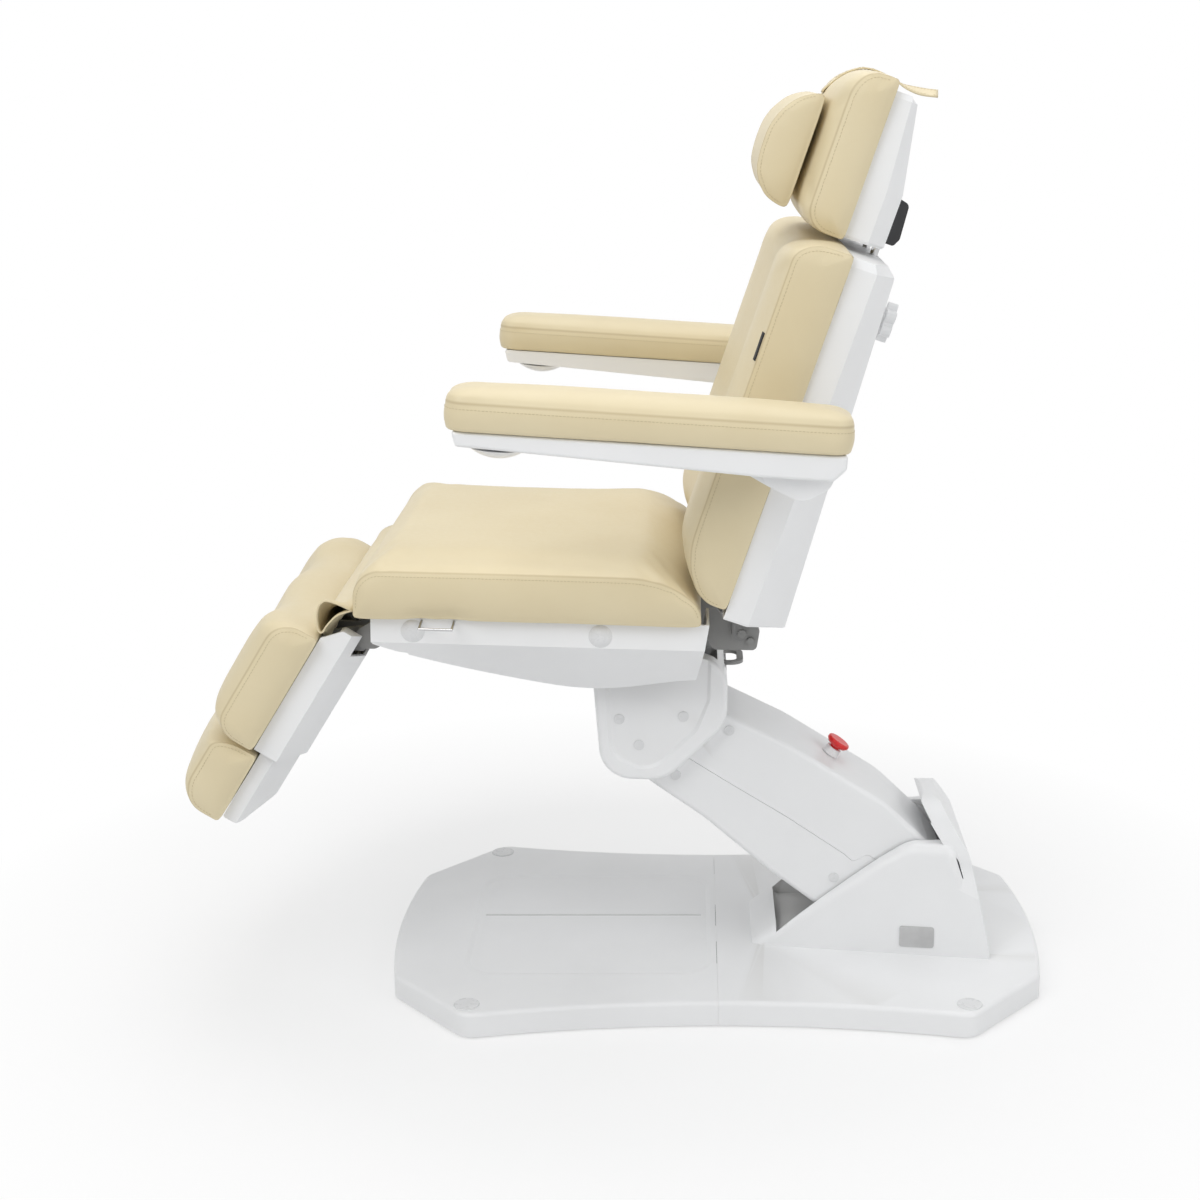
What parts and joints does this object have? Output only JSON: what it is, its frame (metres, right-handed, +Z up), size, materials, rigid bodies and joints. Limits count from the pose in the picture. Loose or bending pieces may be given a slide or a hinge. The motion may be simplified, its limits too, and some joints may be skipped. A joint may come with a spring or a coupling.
{
  "type": "electric procedure chair",
  "caption": "Cream and white powered procedure chair with lifting arm, reclining back, split legrest, swing-up armrests and adjustable headrest",
  "frame": {"origin": "Centre of the chair's footprint box on the floor", "axes": "+Z up, the sitter faces -X, +Y is the sitter's right, metres"},
  "size_m": [1.3108, 0.856, 1.3958],
  "materials": {
    "white_cover": "satin moulded white",
    "cream_vinyl": "soft cream vinyl",
    "frame_paint": "grey powder coat",
    "steel": "turned steel",
    "chrome": "bright chrome",
    "black_plastic": "moulded black",
    "actuator_plastic": "dark housing",
    "red_plastic": "signal red",
    "grey_plate": "satin grey",
    "foot_rubber": "matt black"
  },
  "bodies": {
    "base": {"base_front_cover": "white_cover", "base_rear_cover": "white_cover", "base_frame": "frame_paint", "foot_caps": "white_cover", "levelling_feet": "foot_rubber", "blank_plate": "grey_plate", "power_inlet": "black_plastic", "lower_pivot_shafts": "steel"},
    "lift_arm": {"lift_arm_frame": "frame_paint", "arm_upper_cover": "white_cover", "arm_lower_cover": "white_cover", "arm_screw_caps": "white_cover", "stop_button_collar": "white_cover"},
    "stop_button": {"stop_button": "red_plastic"},
    "levelling_link": {"levelling_link": "steel"},
    "lift_motor": {"lift_actuator_body": "actuator_plastic"},
    "lift_rod": {"lift_actuator_rod": "steel"},
    "head": {"head_knuckle": "frame_paint", "upper_pivot_shafts": "steel", "head_cover_left": "white_cover", "head_cover_right": "white_cover", "head_screw_caps": "white_cover"},
    "swivel": {"swivel_plate": "frame_paint", "tilt_pin": "steel"},
    "swivel_lever": {"swivel_lever": "grey_plate"},
    "seat": {"seat_frame": "frame_paint", "seat_shell": "white_cover", "seat_cushion": "cream_vinyl", "seat_screw_domes": "white_cover", "side_loops": "chrome", "hinge_brackets": "grey_plate", "tilt_actuator_body": "actuator_plastic", "back_actuator_body": "actuator_plastic", "leg_actuator_body": "actuator_plastic"},
    "tilt_rod": {"tilt_actuator_rod": "steel"},
    "back_rod": {"back_actuator_rod": "steel"},
    "leg_rod": {"leg_actuator_rod": "steel"},
    "back": {"back_frame": "frame_paint", "back_shell": "white_cover", "back_cushion": "cream_vinyl", "headrest_clamp": "frame_paint"},
    "clamp_knob": {"clamp_knob": "white_cover"},
    "headrest_post": {"headrest_posts": "chrome"},
    "headrest": {"headrest_shell": "white_cover", "headrest_cushion": "cream_vinyl", "neck_pillow": "cream_vinyl", "pillow_strap": "cream_vinyl"},
    "headrest_lever": {"headrest_lever": "black_plastic"},
    "armrest_left": {"armrest_pad_left": "cream_vinyl", "armrest_tray_left": "white_cover", "armrest_cap_left": "white_cover"},
    "armrest_right": {"armrest_pad_right": "cream_vinyl", "armrest_tray_right": "white_cover", "armrest_cap_right": "white_cover"},
    "legrest": {"legrest_frame": "frame_paint", "legrest_shell": "white_cover", "legrest_cushion": "cream_vinyl"},
    "footrest": {"footrest_shell": "white_cover", "footrest_cushion": "cream_vinyl", "footrest_rails": "chrome"}
  },
  "joints": [
    {"name": "lift", "type": "hinge", "parent": "base", "child": "lift_arm", "pos_m": [0.4465, 0, 0.131], "axis": [0, 1, 0], "range_deg": [-20, 15]},
    {"name": "head_level", "type": "hinge", "parent": "lift_arm", "child": "head", "pos_m": [0.0615, 0, 0.396], "axis": [0, 1, 0], "range_deg": [-15.5, 20.5]},
    {"name": "link", "type": "hinge", "parent": "base", "child": "levelling_link", "pos_m": [0.47485, 0, 0.17219], "axis": [0, 1, 0], "range_deg": [-20.5, 15.5]},
    {"name": "lift_motor", "type": "hinge", "parent": "base", "child": "lift_motor", "pos_m": [0.3915, 0, 0.079], "axis": [0, 1, 0], "range_deg": [-20.5, 15.5]},
    {"name": "lift_rod", "type": "slide", "parent": "lift_motor", "child": "lift_rod", "axis": [-0.6462, 0, 0.7632], "range_m": [-0.02765, 0.02111]},
    {"name": "stop_press", "type": "slide", "parent": "lift_arm", "child": "stop_button", "axis": [-0.567, 0, -0.8237], "range_m": [0, 0.004], "stiffness_N_per_m": 800},
    {"name": "swivel", "type": "hinge", "parent": "head", "child": "swivel", "pos_m": [0.0545, 0, 0.523], "axis": [0, 0, 1], "range_deg": [-120, 120]},
    {"name": "swivel_release", "type": "hinge", "parent": "head", "child": "swivel_lever", "pos_m": [0.1235, 0, 0.4925], "axis": [0, 0, 1], "range_deg": [0, 10], "stiffness_Nm_per_rad": 2},
    {"name": "tilt", "type": "hinge", "parent": "swivel", "child": "seat", "pos_m": [0.1015, 0, 0.566], "axis": [0, 1, 0], "range_deg": [0, 10]},
    {"name": "tilt_rod", "type": "slide", "parent": "seat", "child": "tilt_rod", "axis": [1, 0, 0], "range_m": [-0.00883, 0.0015]},
    {"name": "back_recline", "type": "hinge", "parent": "seat", "child": "back", "pos_m": [0.1775, 0, 0.568], "axis": [0, 1, 0], "range_deg": [0, 70]},
    {"name": "back_rod", "type": "slide", "parent": "seat", "child": "back_rod", "axis": [1, 0, 0], "range_m": [-0.0015, 0.0473]},
    {"name": "legrest", "type": "hinge", "parent": "seat", "child": "legrest", "pos_m": [-0.3705, 0, 0.587], "axis": [0, 1, 0], "range_deg": [-12, 58]},
    {"name": "leg_rod", "type": "slide", "parent": "seat", "child": "leg_rod", "axis": [1, 0, 0], "range_m": [-0.00621, 0.02428]},
    {"name": "footrest", "type": "slide", "parent": "legrest", "child": "footrest", "axis": [-0.5299, 0, -0.848], "range_m": [0, 0.1]},
    {"name": "headrest_height", "type": "slide", "parent": "back", "child": "headrest_post", "axis": [0.3256, 0, 0.9455], "range_m": [0, 0.1]},
    {"name": "headrest_tilt", "type": "hinge", "parent": "headrest_post", "child": "headrest", "pos_m": [0.37615, 0, 1.18177], "axis": [0, 1, 0], "range_deg": [0, 25]},
    {"name": "headrest_release", "type": "hinge", "parent": "headrest", "child": "headrest_lever", "pos_m": [0.38638, 0, 1.14546], "axis": [0, 1, 0], "range_deg": [0, 18], "stiffness_Nm_per_rad": 2},
    {"name": "clamp_screw", "type": "hinge", "parent": "back", "child": "clamp_knob", "pos_m": [0.33931, 0, 1.03792], "axis": [-0.9455, 0, 0.3256], "range_deg": [-180, 180]},
    {"name": "armrest_left", "type": "hinge", "parent": "back", "child": "armrest_left", "pos_m": [0.25169, -0.323, 0.8756], "axis": [0, 1, 0], "range_deg": [-70, 95]},
    {"name": "armrest_right", "type": "hinge", "parent": "back", "child": "armrest_right", "pos_m": [0.25169, 0.323, 0.8756], "axis": [0, 1, 0], "range_deg": [-70, 95]}
  ],
  "couplings": [
    {"joint": "head_level", "follows": "lift", "ratio": -1},
    {"joint": "link", "follows": "lift", "ratio": 1},
    {"joint": "lift_motor", "follows": "lift", "ratio": 1},
    {"joint": "lift_rod", "follows": "lift", "m_per_rad": 0.0749},
    {"joint": "tilt_rod", "follows": "tilt", "m_per_rad": -0.042},
    {"joint": "back_rod", "follows": "back_recline", "m_per_rad": 0.03749},
    {"joint": "leg_rod", "follows": "legrest", "m_per_rad": 0.0225}
  ]
}
